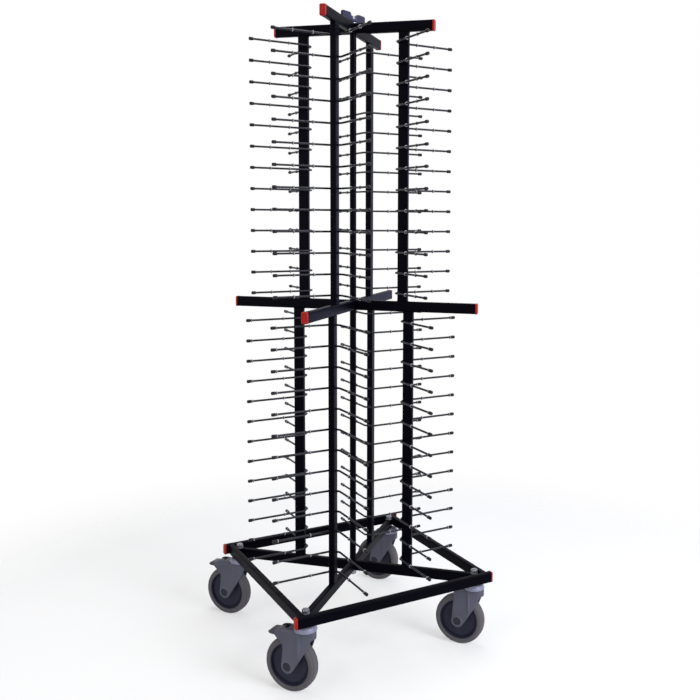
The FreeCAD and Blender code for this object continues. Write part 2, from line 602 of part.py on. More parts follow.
for tag, turn, sx, sy in CORNERS:
    x, y = "%d * castor_at" % sx, "%d * castor_at" % sy
    braked = sx < 0
    side = new_body("fork_side_" + tag)
    edge = LEG_FRONT + (LEG_BRAKE if braked else LEG_PLAIN)
    sk = outline(side, "fork_outline_" + tag, "XZ_Plane", ("0", "0", "-leg_out"), edge)
    pad(side, "fork_block_" + tag, sk, "2 * leg_out")
    boss = drum("fork_boss_" + tag, "leg_boss", "2 * leg_out", ("castor_trail", "-leg_out", "axle_z"), "y")

    def nosed(name, half, top):
        """Upright stadium shape: a round nose in front and straight sides running back."""
        return fuse(name, drum(name + "_nose", half, top, ("-nose_back", "0", "0")),
                    box(name + "_sides", ("nose_back + pin_out + pedal_reach", "2 * (%s)" % half, top),
                        ("-nose_back", "-(%s)" % half, "0")))

    block = doc.addObject("Part::MultiCommon", "fork_blank_" + tag)
    block.Shapes = [fuse("fork_profile_" + tag, side, boss), nosed("fork_plan_" + tag, "leg_out", "crown_top")]
    tools = [nosed("fork_cavity_" + tag, "fork_gap / 2", "crown_low"),
             drum("king_bore_" + tag, "king_dia / 2 + clear_run", "crown_height + 2",
                  ("0", "0", "crown_low - 1")),
             drum("axle_bore_" + tag, "axle_dia / 2 + clear_run", "2 * leg_out + 2",
                  ("castor_trail", "-leg_out - 1", "axle_z"), "y")]
    if braked:
        tools.append(box("pedal_slot_" + tag, ("pedal_reach + pin_out", "fork_gap", "crown_height + 2"),
                         ("crown_back", "-fork_gap / 2", "crown_low - 1")))
    fork = cut(("fork_slotted_" if braked else "castor_fork_") + tag, block, *tools)
    if braked:
        fork = fuse("castor_fork_" + tag, fork,
                    drum("pin_" + tag, "pin_dia / 2", "2 * leg_out", ("pin_out", "-leg_out", "pin_z"), "y"))
    node(place(fork, x, y, "0", turn="castor_heading"), "castor_fork_" + tag)
    axle = fuse("castor_axle_" + tag,
                drum("axle_shank_" + tag, "axle_dia / 2", "2 * leg_out",
                     ("castor_trail", "-leg_out", "axle_z"), "y"),
                drum("axle_head_a_" + tag, "axle_head / 2", "axle_head_h",
                     ("castor_trail", "leg_out", "axle_z"), "y"),
                drum("axle_head_b_" + tag, "axle_head / 2", "axle_head_h",
                     ("castor_trail", "-leg_out - axle_head_h", "axle_z"), "y"))
    node(place(axle, x, y, "0", turn="castor_heading"), "castor_axle_" + tag)
    hub = new_body("castor_hub_" + tag)
    sk = outline(hub, "hub_outline_" + tag, "XY_Plane", ("castor_trail", "0", "axle_z"), [
        ("axle_dia / 2 + clear_run", "-wheel_width / 2 - 1"), ("hub_boss / 2", "-wheel_width / 2 - 1"),
        ("hub_boss / 2", "-hub_web / 2"), ("hub_dia / 2 - hub_rim", "-hub_web / 2"),
        ("hub_dia / 2 - hub_rim", "-wheel_width / 2 + 1"), ("hub_dia / 2", "-wheel_width / 2 + 1"),
        ("hub_dia / 2", "wheel_width / 2 - 1"), ("hub_dia / 2 - hub_rim", "wheel_width / 2 - 1"),
        ("hub_dia / 2 - hub_rim", "hub_web / 2"), ("hub_boss / 2", "hub_web / 2"),
        ("hub_boss / 2", "wheel_width / 2 + 1"), ("axle_dia / 2 + clear_run", "wheel_width / 2 + 1")])
    spin(hub, "hub_turned_" + tag, sk)
    node(place(hub, x, y, "0", turn="castor_heading"), "castor_hub_" + tag)
    tyre = new_body("castor_tyre_" + tag)
    sk = outline(tyre, "tyre_outline_" + tag, "XY_Plane", ("castor_trail", "0", "axle_z"), [
        ("hub_dia / 2", "-wheel_width / 2"), ("wheel_dia / 2 - tyre_edge", "-wheel_width / 2"),
        ("wheel_dia / 2", "-wheel_width / 2 + tyre_edge"), ("wheel_dia / 2", "wheel_width / 2 - tyre_edge"),
        ("wheel_dia / 2 - tyre_edge", "wheel_width / 2"), ("hub_dia / 2", "wheel_width / 2")])
    spin(tyre, "tyre_turned_" + tag, sk)
    node(place(tyre, x, y, "0", turn="castor_heading"), "castor_tyre_" + tag)
    if braked:
        lever = new_body("lever_" + tag)
        sk = outline(lever, "lever_outline_" + tag, "XZ_Plane", ("0", "0", "-pedal_width / 2"), PEDAL)
        pad(lever, "lever_pad_" + tag, sk, "pedal_width")
        barrel = drum("barrel_" + tag, "7", "pedal_width", ("pin_out", "-pedal_width / 2", "pin_z"), "y")
        pedal = cut("brake_pedal_" + tag, fuse("pedal_solid_" + tag, lever, barrel),
                    drum("pedal_bore_" + tag, "pin_dia / 2 + clear_run", "pedal_width + 2",
                         ("pin_out", "-pedal_width / 2 - 1", "pin_z"), "y"))
        node(place(pedal, x, y, "0", turn="castor_heading"), "brake_pedal_" + tag)

doc.recompute()

# Every object is sound before anything is written
bad = []
for obj in doc.Objects:
    if any(s in ("Invalid", "Error") for s in obj.State):
        bad.append("%s %s" % (obj.Label, obj.State))
for obj in NODES:
    if obj.Shape.isNull() or not obj.Shape.isValid():
        bad.append(obj.Label + " shape")
if bad:
    raise RuntimeError("unsound: " + "; ".join(bad))
os.makedirs("parts", exist_ok=True)
for obj in NODES:
    obj.Shape.exportStep("parts/%s.step" % obj.Label)
    print(obj.Label, len(obj.Shape.Solids), round(obj.Shape.Volume, 1))
print(len(NODES), "nodes")
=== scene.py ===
import json
import math

import bmesh
import bpy
import numpy as np
from mathutils import Matrix, Vector


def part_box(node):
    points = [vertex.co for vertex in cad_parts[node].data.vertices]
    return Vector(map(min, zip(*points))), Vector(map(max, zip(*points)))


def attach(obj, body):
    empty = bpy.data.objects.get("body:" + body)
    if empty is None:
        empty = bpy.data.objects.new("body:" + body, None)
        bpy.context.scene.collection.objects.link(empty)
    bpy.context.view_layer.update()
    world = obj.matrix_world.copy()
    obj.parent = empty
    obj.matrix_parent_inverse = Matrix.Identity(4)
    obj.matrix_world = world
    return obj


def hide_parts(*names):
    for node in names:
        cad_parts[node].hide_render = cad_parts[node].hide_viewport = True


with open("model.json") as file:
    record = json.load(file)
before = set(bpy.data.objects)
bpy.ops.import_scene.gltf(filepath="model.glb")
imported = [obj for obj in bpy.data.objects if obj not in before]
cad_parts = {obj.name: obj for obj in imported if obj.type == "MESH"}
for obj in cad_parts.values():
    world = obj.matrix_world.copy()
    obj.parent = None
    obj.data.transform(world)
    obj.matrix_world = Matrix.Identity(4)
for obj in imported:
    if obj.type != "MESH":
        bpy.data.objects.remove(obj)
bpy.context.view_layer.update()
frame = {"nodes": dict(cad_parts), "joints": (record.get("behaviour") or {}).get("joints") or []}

# Black tube frame: base rails, diagonals, posts and the two crosses.
# Rectangular steel tube with rolled corners, sawn to length, butted together,
# welded and powder coated in satin black.
rail_low, rail_high = np.array(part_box("base_rail_front"))
tube_w = rail_high[1] - rail_low[1]
tube_h = rail_high[2] - rail_low[2]
tube_corner = 0.0032
X, Y, Z = np.eye(3)
DIAGONAL = math.sqrt(0.5)
ARMS = {"front_left": (-1, -1), "front_right": (1, -1), "rear_left": (-1, 1), "rear_right": (1, 1)}


class Shade:
    """A socket of one material's nodes: + and * add Math nodes, and node() adds any other node."""

    def __init__(self, tree, out=None):
        self.tree = tree
        self.out = out

    def node(self, kind, settings=None, sockets=None, output=0):
        """Add a node: its settings first, then a value or a link for each named socket."""
        made = self.tree.nodes.new("ShaderNode" + kind)
        for key, value in (settings or {}).items():
            if key == "stops":
                ramp = made.color_ramp.elements
                while len(ramp) < len(value):
                    ramp.new(1.0)
                for stop, (where, colour) in zip(ramp, value):
                    stop.position = where
                    stop.color = (*colour, 1.0)
            else:
                setattr(made, key, value)
        for key, value in (sockets or {}).items():
            if isinstance(value, Shade):
                self.tree.links.new(value.out, made.inputs[key])
            else:
                made.inputs[key].default_value = value
        return Shade(self.tree, made.outputs[output] if len(made.outputs) else None)

    def maths(self, operation, first, second):
        return self.node("Math", {"operation": operation}, {0: first, 1: second})

    def __add__(self, other):
        return self.maths("ADD", self, other)

    def __mul__(self, other):
        return self.maths("MULTIPLY", self, other)

    __radd__ = __add__
    __rmul__ = __mul__


def new_finish(name):
    """A fresh material's node tree, ready for node()."""
    material = bpy.data.materials.new(name)
    material.use_nodes = True
    material.node_tree.nodes.clear()
    return Shade(material.node_tree), material


def blend_colours(shade, factor, first, second):
    """Two colours mixed by a factor."""
    one = first if isinstance(first, Shade) else (*first, 1.0)
    two = second if isinstance(second, Shade) else (*second, 1.0)
    return shade.node("Mix", {"data_type": "RGBA"}, {0: factor, 6: one, 7: two}, 2)


def seal(shade, material, sheen, **sockets):
    """Feed a Principled shader, whose specular level is the sheen, and the material's output."""
    named = {key.replace("_", " "): value for key, value in sockets.items()}
    surface = shade.node("BsdfPrincipled", None, {"Specular IOR Level": sheen, **named})
    shade.node("OutputMaterial", None, {"Surface": surface})
    return material


def powder_coat(name, dark, light, rough, sheen=0.02):
    """Baked powder: fine orange peel in the bump, cloudy gloss and thin grey rub marks."""
    shade, material = new_finish(name)
    spot = shade.node("TexCoord", output="Object")
    peel = shade.node("TexNoise", None, {"Vector": spot, "Scale": 780.0, "Detail": 2.0, "Roughness": 0.5})
    cloud = shade.node("TexNoise", None, {"Vector": spot, "Scale": 11.0, "Detail": 4.0, "Roughness": 0.6})
    along = shade.node("Mapping", None, {"Vector": spot, "Scale": (260.0, 260.0, 22.0)})
    rub = shade.node("TexNoise", None, {"Vector": along, "Scale": 1.0, "Detail": 5.0, "Roughness": 0.7})
    marks = shade.node("ValToRGB", {"stops": [(0.66, (0, 0, 0)), (0.80, (1, 1, 1))]}, {0: rub})
    tint = blend_colours(shade, cloud, dark, light)
    worn = blend_colours(shade, shade.node("RGBToBW", None, {0: marks}) * 0.05, tint, (0.12, 0.12, 0.14))
    bump = shade.node("Bump", None, {"Height": peel, "Strength": 0.10, "Distance": 0.0004})
    return seal(shade, material, sheen, Base_Color=worn, Roughness=rough + cloud * 0.14 + peel * 0.05,
                Normal=bump)


def rounded_section(width, height, radius, arc=4, flat=3):
    """Rounded rectangle: quarter circles about centres set in by the radius, points along the flats."""
    turn = np.linspace(0.0, math.pi / 2, arc + 1)
    corners = []
    for k, signs in enumerate(((1, 1), (-1, 1), (-1, -1), (1, -1))):
        middle = np.array(signs) * (np.array([width, height]) / 2 - radius)
        angle = turn + k * math.pi / 2
        corners.append(middle + radius * np.stack([np.cos(angle), np.sin(angle)], 1))
    share = np.linspace(0.0, 1.0, flat + 2)[1:-1, None]
    rows = []
    for k in range(4):
        here, after = corners[k][-1], corners[(k + 1) % 4][0]
        rows += [corners[k], here + (after - here) * share]
    return np.concatenate(rows)


def grid_faces(rows, cols, copies=1, ends=True, closed=True):
    """Quads of a grid, wrapped round its columns when closed, once per copy, with flat end faces."""
    last = cols if closed else cols - 1
    r, c = np.meshgrid(np.arange(rows - 1), np.arange(last), indexing="ij")
    beside = (c + 1) % cols
    quads = np.stack([r * cols + c, r * cols + beside, (r + 1) * cols + beside, (r + 1) * cols + c], -1)
    shift = rows * cols * np.arange(copies)
    faces = (quads.reshape(1, -1, 4) + shift[:, None, None]).reshape(-1, 4).tolist()
    if ends:
        for ring in (np.arange(cols)[::-1], (rows - 1) * cols + np.arange(cols)):
            faces += (ring[None] + shift[:, None]).tolist()
    return faces


def piece(name, points, faces, finish, body, slot, *nodes, sharp=38):
    """Put points and faces into a mesh, ride it on its body and let it stand for its nodes."""
    mesh = bpy.data.meshes.new(name)
    mesh.from_pydata(np.asarray(points).reshape(-1, 3).tolist(), [], faces)
    work = bmesh.new()
    work.from_mesh(mesh)
    bmesh.ops.recalc_face_normals(work, faces=work.faces)
    work.to_mesh(mesh)
    work.free()
    mesh.polygons.foreach_set("use_smooth", np.ones(len(mesh.polygons), bool))
    mesh.set_sharp_from_angle(angle=math.radians(sharp))
    mesh.materials.append(finish)
    made = bpy.data.objects.new(name, mesh)
    bpy.context.scene.collection.objects.link(made)
    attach(made, body)
    if nodes:
        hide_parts(*nodes)
    return made


def carried(section, origin, along, across, up, start, end):
    """A section carried straight from start to end; either may differ from point to point."""
    flat = origin + section[:, :1] * across + section[:, 1:] * up
    return np.stack([flat + np.reshape(s, (-1, 1)) * along for s in (start, end)])


black_coat = powder_coat("satin_black_powder", (0.0010, 0.0009, 0.0026), (0.0020, 0.0018, 0.0048), 0.26)
tube_section = rounded_section(tube_w, tube_h, tube_corner)
tube_faces = grid_faces(2, len(tube_section))


def tube(node, origin, along, across, up, start, end):
    points = carried(tube_section, origin, along, across, up, start, end)
    return piece("tube_" + node, points, tube_faces, black_coat, "frame", "frame_black", node)


for side in ("front", "rear"):
    low, high = np.array(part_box("base_rail_" + side))
    tube("base_rail_" + side, (low + high) / 2 * (Y + Z), X, Y, Z, low[0], high[0])
for side in ("left", "right"):
    low, high = np.array(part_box("base_rail_" + side))
    tube("base_rail_" + side, (low + high) / 2 * (X + Z), Y, X, Z, low[1], high[1])

diag_low, diag_high = np.array(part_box("base_diagonal_main"))
diag_z = (diag_low[2] + diag_high[2]) / 2


def diagonal_reach(lean):
    """How far each line of the tube runs before it meets a side rail or a capped rail."""
    across = tube_section[:, 0] * lean
    return np.minimum(diag_high[0] / DIAGONAL + across, diag_high[1] / DIAGONAL - across)


for node, (sx, sy) in (("main", (1, 1)), ("left", (-1, 1)), ("right", (1, -1))):
    along = DIAGONAL * (sx * X + sy * Y)
    start = -diagonal_reach(-sx * sy) if node == "main" else tube_w / 2
    tube("base_diagonal_" + node, diag_z * Z, along, np.cross(Z, along), Z, start, diagonal_reach(sx * sy))

for level in ("lower", "upper"):
    for corner, (sx, sy) in ARMS.items():
        node = "%s_post_%s" % (level, corner)
        low, high = np.array(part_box(node))
        out = DIAGONAL * (sx * X + sy * Y)
        tube(node, (low + high) / 2 * (X + Y), Z, np.cross(Z, out), out, low[2], high[2])

arm_ends = {}
for level in ("bumper", "top"):
    low, high = np.array(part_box(level + "_bar"))
    reach = high[0] / DIAGONAL - tube_w / 2
    arm_ends[level] = (reach, (low[2] + high[2]) / 2)
    middle = arm_ends[level][1] * Z
    along = DIAGONAL * (X - Y)
    tube(level + "_bar", middle, along, np.cross(Z, along), Z, -reach, reach)
    for arm, (sx, sy) in (("front", (-1, -1)), ("rear", (1, 1))):
        along = DIAGONAL * (sx * X + sy * Y)
        tube("%s_arm_%s" % (level, arm), middle, along, np.cross(Z, along), Z, tube_w / 2, reach)

# Weld beads where the tubes meet: posts on the diagonals and crosses, side rails on the
# capped rails. Each bead is a short run of overlapping ripples under the same coat.
bead_r = 0.0024
ripple = 0.0022
ripple_depth = 0.13


def bead(start, end, sides=8):
    """A round bead along a line whose radius swells and shrinks as the sine of the length."""
    start, end = np.array(start, float), np.array(end, float)
    length = np.linalg.norm(end - start)
    along = (end - start) / length
    steps = np.linspace(0.0, 1.0, max(8, int(length / ripple * 4)))
    taper = np.clip(np.minimum(steps, 1 - steps) * length / bead_r, 0.25, 1.0) ** 0.5
    radius = bead_r * taper * (1 + ripple_depth * np.sin(2 * math.pi * steps * length / ripple))
    side = np.cross(along, Z if abs(along[2]) < 0.9 else X)
    side = side / np.linalg.norm(side)
    angle = np.linspace(0, 2 * math.pi, sides, endpoint=False)
    ring = np.cos(angle)[:, None] * side + np.sin(angle)[:, None] * np.cross(along, side)
    return start + (steps * length)[:, None, None] * along + radius[:, None, None] * ring[None]


def joined(grids, ends=True):
    """Several grids of points as one list of points and faces."""
    faces, points, shift = [], [], 0
    for grid in grids:
        rows, cols = grid.shape[:2]
        faces += [[index + shift for index in face] for face in grid_faces(rows, cols, ends=ends)]
        points.append(grid.reshape(-1, 3))
        shift += rows * cols
    return np.concatenate(points), faces


beads = []
for level in ("lower", "upper"):
    for corner, (sx, sy) in ARMS.items():
        low, high = np.array(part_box("%s_post_%s" % (level, corner)))
        out = DIAGONAL * (sx * X + sy * Y)
        over = np.cross(Z, out) * (tube_w / 2 - tube_corner)
        for face in (-1, 1):
            middle = (low + high) / 2 * (X + Y) + out * face * tube_h / 2
            for z in (low[2], high[2]):
                beads.append(bead(middle + z * Z - over, middle + z * Z + over))
for side in ("left", "right"):
    low, high = np.array(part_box("base_rail_" + side))
    for y in (low[1], high[1]):
        for x in (low[0], high[0]):
            beads.append(bead((x, y, low[2] + tube_corner), (x, y, high[2] - tube_corner)))
points, faces = joined(beads)
piece("weld_beads", points, faces, black_coat, "frame", "frame_black", sharp=80)

# Red end caps: moulded plugs pushed into the open tube ends. Only the head shows, slightly
# larger than the tube, with rounded edges and a face that is pressed in a little.
caps_low, caps_high = np.array(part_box("end_caps"))
cap_head = caps_high[0] - rail_high[0]
cap_lip = caps_high[1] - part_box("base_rail_rear")[1][1]
cap_round = 0.0036
cap_break = 0.0004
cap_rim = 0.0050
cap_dish = 0.0004
corner_least = 0.0006


def end_cap(tip, along, across):
    """Rounded rectangle carried along the tube: square at the back, set in round the front edge."""
    turn = np.linspace(0, math.pi / 2, 5)
    rings = [(-cap_head, cap_break), (-cap_head + cap_break, 0.0)]
    rings += [(-cap_round + cap_round * math.sin(a), cap_round * (1 - math.cos(a))) for a in turn]
    rings += [(0.0, cap_rim), (-0.75 * cap_dish, cap_rim + 0.0006), (-cap_dish, cap_rim + 0.0024)]
    rows = []
    for place, inset in rings:
        section = rounded_section(tube_w + 2 * (cap_lip - inset), tube_h + 2 * (cap_lip - inset),
                                  max(tube_corner + cap_lip - inset, corner_least), flat=1)
        rows.append(tip + place * along + section[:, :1] * across + section[:, 1:] * Z)
    return np.stack(rows)


def moulded(name, colour, deep, rough, sheen, grain=520.0, depth=0.10):
    """Moulded plastic: a fine leathery grain, a slow tint drift and handling smears in the gloss."""
    shade, material = new_finish(name)
    spot = shade.node("TexCoord", output="Object")
    skin = shade.node("TexNoise", None, {"Vector": spot, "Scale": grain, "Detail": 3.0})
    drift = shade.node("TexNoise", None, {"Vector": spot, "Scale": 23.0, "Detail": 3.0})
    smear = shade.node("TexNoise", None, {"Vector": spot, "Scale": 70.0, "Detail": 5.0, "Roughness": 0.65})
    bump = shade.node("Bump", None, {"Height": skin, "Strength": depth, "Distance": 0.0005})
    return seal(shade, material, sheen, Base_Color=blend_colours(shade, drift, deep, colour),
                Roughness=rough + smear * 0.16, Normal=bump)


red_plastic = moulded("red_cap_plastic", (0.40, 0.011, 0.007), (0.31, 0.008, 0.005), 0.28, 0.16)
caps = []
for side in ("front", "rear"):
    low, high = np.array(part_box("base_rail_" + side))
    middle = (low + high) / 2 * (Y + Z)
    caps.append(end_cap(middle + caps_high[0] * X, X, Y))
    caps.append(end_cap(middle + caps_low[0] * X, -X, Y))
for reach, z in arm_ends.values():
    for sx, sy in ARMS.values():
        along = DIAGONAL * (sx * X + sy * Y)
        caps.append(end_cap((reach + cap_head) * along + z * Z, along, np.cross(Z, along)))
points, faces = joined(caps)
piece("red_end_caps", points, faces, red_plastic, "frame", "cap_red", "end_caps")

# Centre column: two plain tubes, one over the other, with the steel tie rod through both.
# The rod is clamped by a nut and washer under the base and by the wing knob on top.
column_wall = 0.002
column_edge = 0.0006


def turned(profile, origin, axis, sides):
    """A profile of (along, radius) pairs turned about an axis through the origin."""
    axis = np.array(axis, float)
    side = np.cross(axis, Z if abs(axis[2]) < 0.9 else X)
    side = side / np.linalg.norm(side)
    angle = np.linspace(0, 2 * math.pi, sides, endpoint=False)
    ring = np.cos(angle)[:, None] * side + np.sin(angle)[:, None] * np.cross(axis, side)
    profile = np.array(profile)
    return origin + profile[:, :1, None] * axis + profile[:, 1:, None] * ring[None]


def bright_zinc(name, colour, thread=0.0):
    """Bright zinc: brushed gloss, grey bloom, and a thread as a saw wave along the upright axis."""
    shade, material = new_finish(name)
    spot = shade.node("TexCoord", output="Object")
    bloom = shade.node("TexNoise", None, {"Vector": spot, "Scale": 160.0, "Detail": 4.0})
    brushed = shade.node("Mapping", None, {"Vector": spot, "Scale": (2200.0, 2200.0, 90.0)})
    lines = shade.node("TexNoise", None, {"Vector": brushed, "Scale": 1.0, "Detail": 3.0})
    height = lines * 0.15
    if thread:
        wave = shade.node("TexWave", {"bands_direction": "Z", "wave_profile": "TRI"},
                          {"Vector": spot, "Scale": thread, "Distortion": 0.0})
        height = height + wave
    bump = shade.node("Bump", None, {"Height": height, "Strength": 0.35, "Distance": 0.0006})
    tint = blend_colours(shade, bloom, [c * 0.72 for c in colour], colour)
    return seal(shade, material, 0.5, Base_Color=tint, Metallic=0.9, Roughness=0.26 + bloom * 0.22,
                Normal=bump)


def sleeve(inner, outer, start, end, edge):
    """Profile of a plain ring or tube from start to end with broken outer edges."""
    return [(start, inner), (start, outer - edge), (start + edge, outer), (end - edge, outer),
            (end, outer - edge), (end, inner)]


def refinish(node, finish):
    """Give a CAD node that stays in view a new finish."""
    finishes = frame["nodes"][node].data.materials
    finishes.clear()
    finishes.append(finish)


zinc = bright_zinc("bright_zinc", (0.32, 0.32, 0.37))
threaded_zinc = bright_zinc("threaded_zinc", (0.30, 0.30, 0.34), thread=190.0)
for level in ("lower", "upper"):
    node = level + "_centre_tube"
    low, high = np.array(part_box(node))
    radius = (high[0] - low[0]) / 2
    length = high[2] - low[2]
    profile = sleeve(radius - column_wall, radius, 0, length, column_edge)
    points = turned(profile, low * Z, Z, 28)
    piece("column_" + level, points, grid_faces(*points.shape[:2]), black_coat, "frame", "frame_black", node)
refinish("tie_rod", threaded_zinc)

# Washers and hexagon nuts: zinc plated steel. The nuts on the castor stems stand on the
# ends of the diagonals, one holds the tie rod under the base crossing.
stem_r = 0.006
washer_r = 0.011
washer_t = 0.002
washer_edge = 0.0003
nut_flat = 0.009
nut_tall = 0.010
nut_face, nut_cone = 0.0088, 0.0105
nut_chamfer = 0.0011
nut_mouth, nut_sink = 0.0007, 0.0008
castor_at = next(j["pos_m"] for j in frame["joints"] if j["name"] == "castor_front_right_swivel")[0]
diag_top = diag_high[2]
top_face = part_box("top_bar")[1][2]
nut_spots = [(sx * castor_at, sy * castor_at, diag_top + washer_t, 1) for sx, sy in ARMS.values()]
nut_spots.append((0.0, 0.0, diag_low[2] - washer_t, -1))
washer_spots = [(x, y, z - washer_t * way, way) for x, y, z, way in nut_spots]
washer_spots.append((0.0, 0.0, top_face, 1))
washer_profile = sleeve(stem_r, washer_r, 0, washer_t, washer_edge)
grids = [turned(washer_profile, np.array([x, y, z]), Z * way, 28) for x, y, z, way in washer_spots]
points, faces = joined(grids, ends=False)
piece("zinc_washers", points, faces, zinc, "frame", "zinc", "washers")


def hex_nut(origin, way):
    """Radius is the flat over the cosine to the nearest flat's middle, cut by a cone at both ends."""
    angle = np.linspace(0, 2 * math.pi, 48, endpoint=False)
    flat = nut_flat / np.cos((angle + math.pi / 6) % (math.pi / 3) - math.pi / 6)
    rows = []
    for along, cone in ((0.0, nut_face), (nut_chamfer, nut_cone), (nut_tall - nut_chamfer, nut_cone),
                        (nut_tall, nut_face), (nut_tall, stem_r + nut_mouth), (nut_tall - nut_sink, stem_r)):
        radius = np.minimum(flat, cone)
        rows.append(origin + along * way * Z + radius[:, None] * np.stack(
            [np.cos(angle), np.sin(angle), 0 * angle], 1))
    return np.stack(rows)


points, faces = joined([hex_nut(np.array([x, y, z]), way) for x, y, z, way in nut_spots], ends=False)
piece("zinc_nuts", points, faces, zinc, "frame", "zinc", "hex_nuts")

# Wing knob: one dark blue-black moulding with two flat lobes and a dip in the middle,
# where the end of the tie rod shows.
knob_low, knob_high = np.array(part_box("wing_knob"))
knob_heading = math.radians(29.0)
knob_half = 0.055
knob_tall = knob_high[2] - knob_low[2]
knob_dip = 0.010
knob_thick = 0.013
knob_hub_r = 0.012
knob_round, knob_edge = 0.005, 0.0035
knob_slope = (0.0085, 0.022)
knob_lift = 0.002
knob_draft = 0.002


def smooth(x, start, end):
    """Smooth step from 0 at start to 1 at end."""
    t = np.clip((x - start) / (end - start), 0, 1)
    return t * t * (3 - 2 * t)


def knob_points():
    """A rounded section along the wings: its top rises from the dip to the lobes, and the hub swells."""
    along = np.array([math.cos(knob_heading), math.sin(knob_heading), 0.0])
    across = np.cross(Z, along)
    turn = np.linspace(0, math.pi / 2, 6)
    tip = knob_half - knob_round + knob_round * np.sin(turn)
    inner = np.linspace(0, knob_half - knob_round, 26)[:-1]
    half = np.concatenate([inner, tip])
    squeeze = np.concatenate([np.zeros(len(inner)), knob_round * (1 - np.cos(turn))])
    s = np.concatenate([-half[::-1], half[1:]])
    squeeze = np.concatenate([squeeze[::-1], squeeze[1:]])
    rise = smooth(np.abs(s), *knob_slope)
    top = knob_dip + (knob_tall - knob_dip) * rise - squeeze
    foot = knob_lift * rise + squeeze
    round_hub = np.sqrt(np.clip(knob_hub_r ** 2 - s ** 2, 0, None))
    draft = knob_draft * smooth(np.abs(s), 0.02, 0.05)
    wide = np.maximum(2 * round_hub, knob_thick - draft) - squeeze
    rows = []
    for k, place in enumerate(s):
        tall, middle = top[k] - foot[k], (top[k] + foot[k]) / 2
        section = rounded_section(wide[k], tall, min(knob_edge, tall / 2.2))
        rows.append(place * along + section[:, :1] * across + (section[:, 1:] + middle) * Z)
    return np.stack(rows) + knob_low[2] * Z


blue_black = moulded("knob_plastic", (0.040, 0.041, 0.084), (0.028, 0.029, 0.058), 0.34, 0.12)
points = knob_points()
piece("wing_knob_moulding", points, grid_faces(*points.shape[:2]), blue_black, "knob", "knob_black",
      "wing_knob", sharp=60)

# Rack rods: six millimetre wire bent in two places, the flat back welded behind a post and
# both legs running straight out. One black powder coat covers the wire and its welds.
wire_r = 0.003
wire_bend = 0.008
wire_flat = 0.013
wire_leg = 0.175
level_count = 13
level_pitch = 0.060
weld_half = 0.0065
weld_out, weld_up = wire_r * 0.75, 0.0022


def wire_line(side, bend):
    """Half line: leg end, quarter of the bend in steps, then mirrored about the corner's diagonal."""
    trim = wire_bend * math.tan(math.pi / 8)
    turn = np.linspace(0, math.pi / 4, 4)
    x = -side - wire_bend * (1 - np.cos(turn))
    y = -bend - trim + wire_bend * np.sin(turn)
    half = np.stack([np.append(-side, x), np.append(-bend - wire_leg, y)], 1)
    return np.concatenate([half, half[::-1, ::-1]])


def quarter_turns(sides):
    """A matrix for each side: a turn about the upright axis by that many quarters."""
    angle = np.array(sides) * math.pi / 2
    turns = np.zeros((len(sides), 3, 3))
    turns[:, 0, 0] = turns[:, 1, 1] = np.cos(angle)
    turns[:, 1, 0] = np.sin(angle)
    turns[:, 0, 1] = -np.sin(angle)
    turns[:, 2, 2] = 1
    return turns


def wire_points(line, heights, sides=8):
    """A circle carried along a flat line, for the four corners and for every height."""
    step = np.gradient(line, axis=0)
    step[0], step[-1] = line[1] - line[0], line[-1] - line[-2]
    step = step / np.linalg.norm(step, axis=1, keepdims=True)
    normal = np.stack([-step[:, 1], step[:, 0]], 1)
    angle = np.linspace(0, 2 * math.pi, sides, endpoint=False) + math.pi / sides
    flat = line[:, None] + wire_r * np.cos(angle)[None, :, None] * normal[:, None]
    tall = np.broadcast_to(wire_r * np.sin(angle), flat.shape[:2])
    turned_flat = np.einsum("kij,rcj->krci", quarter_turns(range(4))[:, :2, :2], flat)
    out = np.empty((4, len(heights)) + flat.shape[:2] + (3,))
    out[..., :2] = turned_flat[:, None]
    out[..., 2] = tall + np.array(heights)[None, :, None, None]
    return out.reshape(-1, *flat.shape[:2], 3)


wire_black = powder_coat("wire_black_powder", (0.0066, 0.0070, 0.0122), (0.0104, 0.0110, 0.0190), 0.32, 0.20)
rod_sets = {}
spots = []
for level in ("lower", "upper"):
    low, high = np.array(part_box(level + "_rods"))
    heights = low[2] + wire_r + level_pitch * np.arange(level_count)
    post_low, post_high = np.array(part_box(level + "_post_rear_right"))
    back = (post_low[0] + post_high[0]) / 2 / DIAGONAL - tube_h / 2 - wire_r
    side, bend = (back - wire_flat) * DIAGONAL, (back + wire_flat) * DIAGONAL
    rod_sets[level] = (side, bend, heights)
    line = wire_line(side, bend)
    points = wire_points(line, heights)
    faces = grid_faces(*points.shape[1:3], len(points))
    piece("plate_rods_" + level, points, faces, wire_black, "frame", "rod_black", level + "_rods", sharp=60)
    for sx, sy in ARMS.values():
        out = DIAGONAL * (sx * X + sy * Y)
        over = np.cross(Z, out) * weld_half
        for z in heights:
            middle = (back + weld_out) * out + (z + weld_up) * Z
            spots.append(bead(middle - over, middle + over, 6)[::3])
points, faces = joined(spots)
piece("rod_welds", points, faces, wire_black, "frame", "rod_black", sharp=80)

# Tip caps: small black plastic thimbles pushed on every wire end, with a rolled rim
# round the mouth and a domed end.
tip_r = 0.0048
tip_socket = 0.009
tip_wall = 0.003
tip_rim = 0.0006
dome_long, dome_wide = 0.0022, 0.0028


def spread(grid, leg_x, leg_y, heights, sides):
    """Copies of a small grid to both legs of the given sides and to every height."""
    mirrored = grid * np.array([-1, 1, 1])
    pair = np.stack([grid + np.array([-leg_x, -leg_y, 0]), mirrored + np.array([leg_x, -leg_y, 0])])
    around = np.einsum("kij,prcj->kprci", quarter_turns(sides), pair)
    lifted = around[:, :, None] + np.array(heights)[None, None, :, None, None, None] * Z
    return lifted.reshape(-1, *grid.shape)


